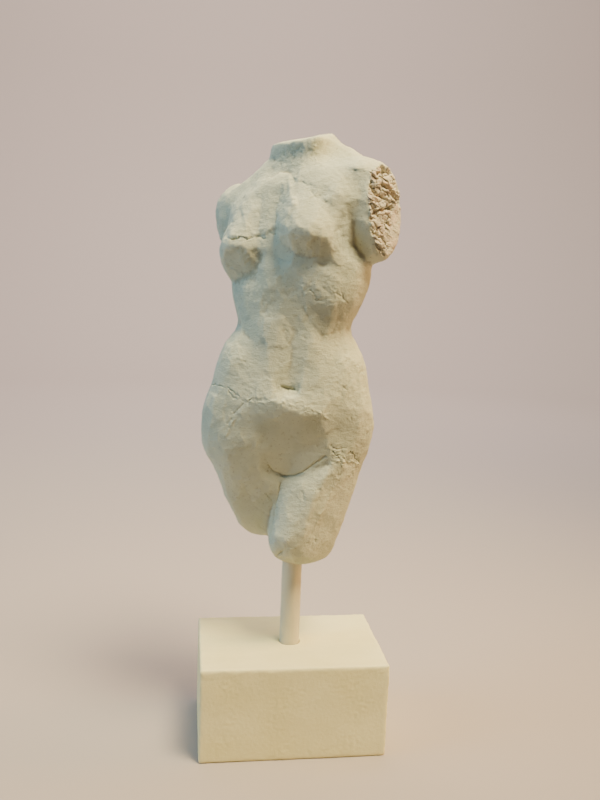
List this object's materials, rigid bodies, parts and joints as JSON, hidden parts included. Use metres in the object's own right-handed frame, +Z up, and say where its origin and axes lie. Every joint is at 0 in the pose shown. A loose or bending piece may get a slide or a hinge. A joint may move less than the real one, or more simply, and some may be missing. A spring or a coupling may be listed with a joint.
{
  "type": "female bust",
  "caption": "Headless, limbless female torso in chalky cream plaster, turning at the waist, its arm broken off rough, on a round rod in a plain rectangular block plinth",
  "frame": {"origin": "the middle of the plinth's underside, which is also the rod's axis", "axes": "+Z up, -Y the plinth's front, +X the figure's own left"},
  "size_m": [0.1113, 0.0877, 0.3593],
  "materials": {
    "torso_plaster": "matte cream plaster with a rough pinkish break",
    "rod_paint": "smooth matte cream paint",
    "plinth_paint": "matte cream paint with a stippled, orange-peel surface"
  },
  "bodies": {
    "root": {"torso": "torso_plaster", "rod": "rod_paint", "plinth": "plinth_paint"}
  },
  "joints": []
}
